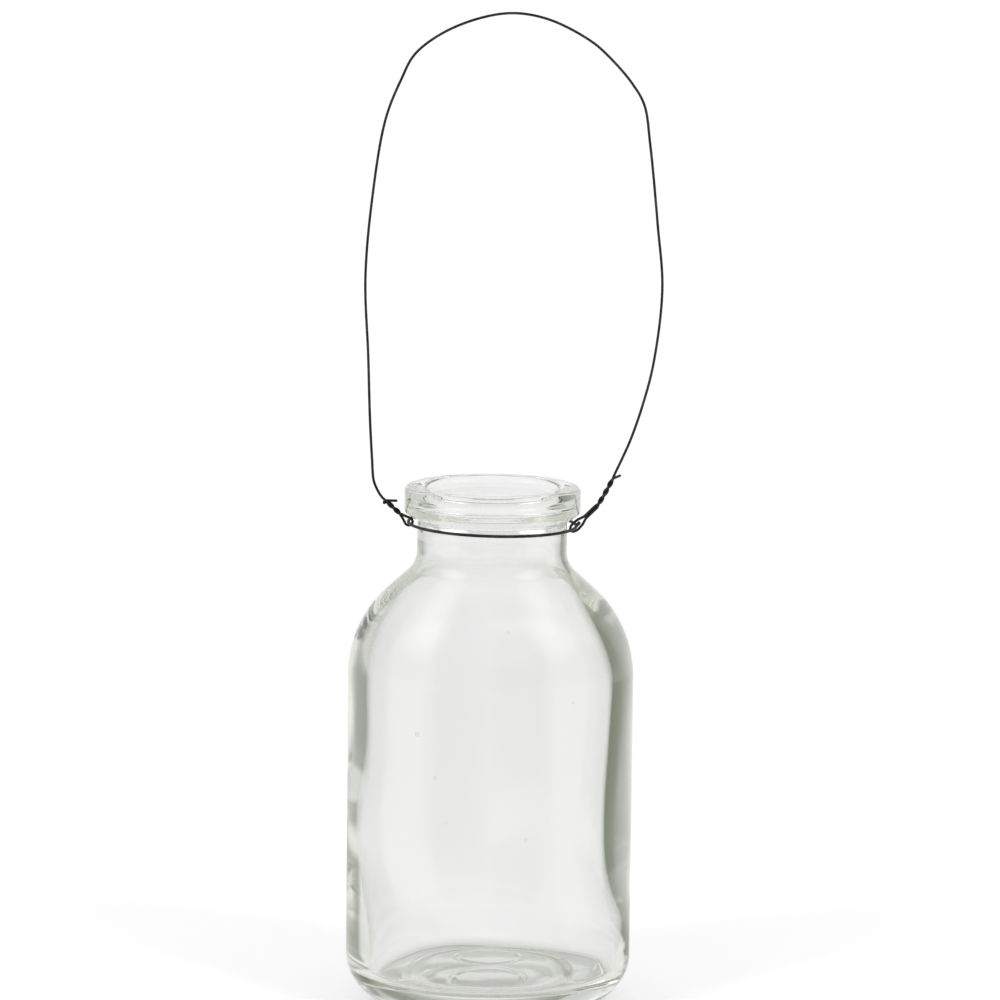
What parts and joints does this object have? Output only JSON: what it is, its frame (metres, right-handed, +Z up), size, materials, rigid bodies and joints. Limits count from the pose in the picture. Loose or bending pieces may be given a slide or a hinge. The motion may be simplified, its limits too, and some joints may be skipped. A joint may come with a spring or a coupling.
{
  "type": "hanging bottle vase",
  "caption": "Heavy clear glass bottle used as a hanging vase, with a wire round its neck and a hand-bent wire bail hooked on that wire.",
  "frame": {"origin": "on the bottle's axis, in the plane that the bottle stands on", "axes": "+Z up along the bottle's axis, +X towards the bail's longer twist, -Y towards the viewer of the picture; the bail stands in the XZ plane at rest"},
  "size_m": [0.0561, 0.0516, 0.1794],
  "materials": {
    "bottle_glass": "clear, slightly green, glossy, with small seeds and waves",
    "neck_wire_steel": "dark annealed, satin",
    "bail_wire_steel": "dark annealed, satin"
  },
  "bodies": {
    "bottle": {"bottle": "bottle_glass"},
    "neck_wire": {"neck_wire": "neck_wire_steel"},
    "bail": {"bail_wire": "bail_wire_steel"}
  },
  "joints": [
    {"name": "neck_wire_swivel", "type": "hinge", "parent": "bottle", "child": "neck_wire", "pos_m": [0, 0, 0.0872], "axis": [0, 0, 1], "continuous": true},
    {"name": "bail_swing", "type": "hinge", "parent": "neck_wire", "child": "bail", "pos_m": [0, 0, 0.0872], "axis": [0.9998, 0, -0.0174], "range_deg": [-40, 40]}
  ]
}
